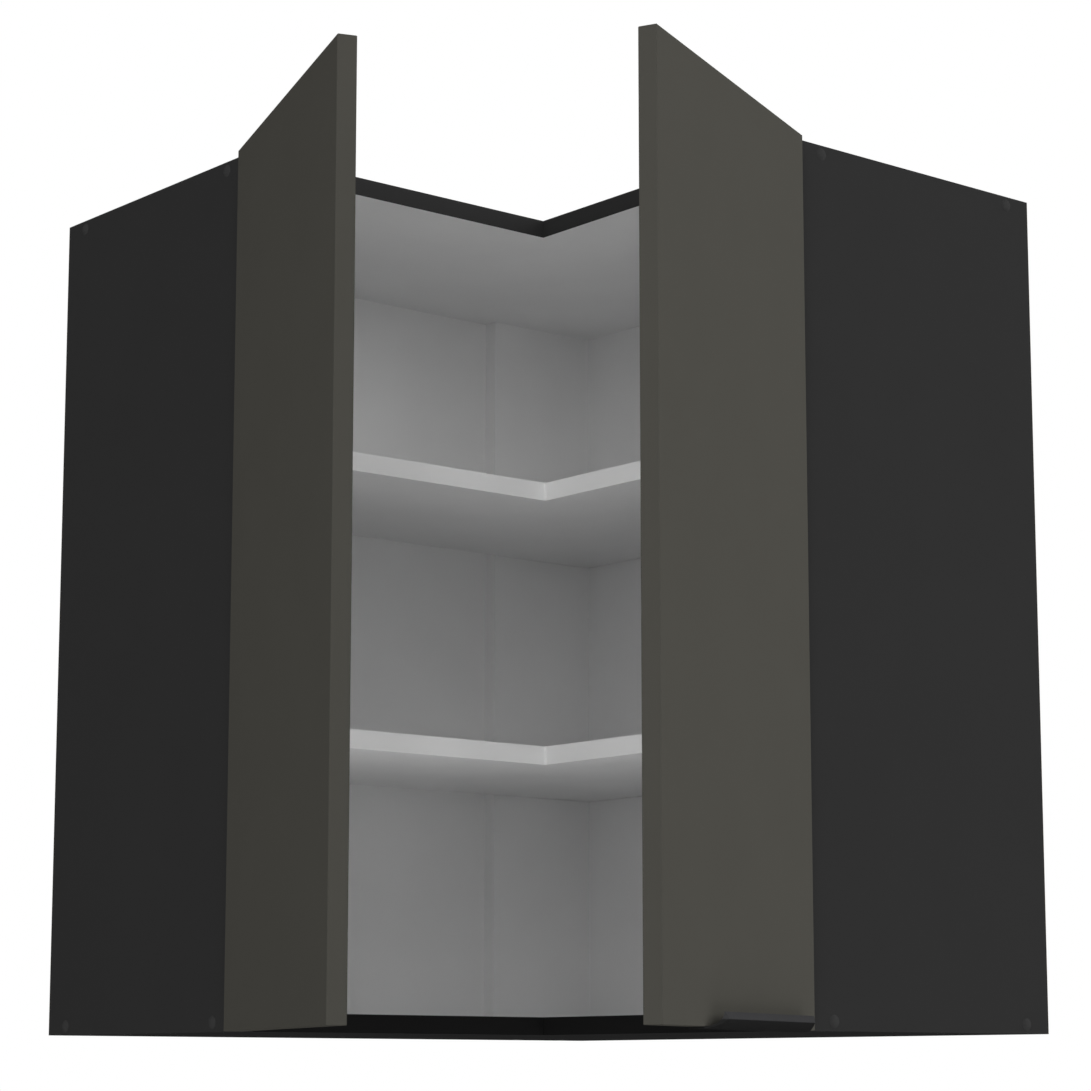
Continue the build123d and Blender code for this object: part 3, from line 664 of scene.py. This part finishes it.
world = bpy.data.worlds.new("studio")
world.use_nodes = True
sky_tree = world.node_tree
sky_tree.nodes.clear()
dim, white = plain_sky(sky_tree, SKY_LIGHT), plain_sky(sky_tree, WHITE_STRENGTH)
sky = blend_shaders(sky_tree, in_picture(sky_tree), dim, white)
sky_output = add(sky_tree, "ShaderNodeOutputWorld")
sky_tree.links.new(sky, sky_output.inputs["Surface"])
bpy.context.scene.world = world
print("sky lights with a strength of", SKY_LIGHT)

# %% [markdown]
# ## Floor
#
# A plain floor lies 1.4 metres below the cabinet, as in a kitchen. To the camera and in
# reflections it is mostly an even white, and far away it is the white of the sky, so no
# horizon shows. Near the cabinet it is partly a lit surface, which keeps the soft shadow.

# %% Floor
FLOOR_DROP = 1.4
FLOOR_SIDE = 60.0
FLOOR_GREY = (235, 235, 235)
FLOOR_ROUGHNESS = 0.8
FLOOR_SPREAD = 0.01
FLOOR_GLOW_SHARE = 0.85
FULL_SHARE = 1.0
FLOOR_NEAR = 2.0
FLOOR_FAR = 9.0


def pale_floor(name):
    """Lit grey floor that the camera and reflections see as near-white, white far away."""
    material, tree, shader, where = start_material(name, FLOOR_ROUGHNESS)
    grey = mottled(tree, noise(tree, where, MOTTLE_SCALE), FLOOR_GREY, FLOOR_SPREAD)
    tree.links.new(grey, shader.inputs["Base Color"])
    glow = add(tree, "ShaderNodeEmission")
    glow.inputs["Color"].default_value = WHITE
    glow.inputs["Strength"].default_value = WHITE_STRENGTH
    away = add(tree, "ShaderNodeVectorMath", operation="LENGTH")
    tree.links.new(where, away.inputs[0])
    share = ramp_between(
        tree, away.outputs["Value"], FLOOR_NEAR, FLOOR_FAR, FLOOR_GLOW_SHARE, FULL_SHARE
    )
    amount = calculate(tree, "MULTIPLY", in_picture(tree), share)
    lit, glowing = shader.outputs["BSDF"], glow.outputs["Emission"]
    surface = blend_shaders(tree, amount, lit, glowing)
    tree.links.new(surface, tree.nodes["Material Output"].inputs["Surface"])
    return material


bpy.ops.mesh.primitive_plane_add(size=FLOOR_SIDE, location=(0, 0, -FLOOR_DROP))
floor = bpy.context.object
floor.name = "floor"
floor.data.materials.append(pale_floor("floor finish"))
print("floor at", -FLOOR_DROP)

# %% [markdown]
# ## Picture settings
#
# Colours are shown as they are, with no film look.

# %% Settings and finish
scene = bpy.context.scene
scene.view_settings.view_transform = "Standard"
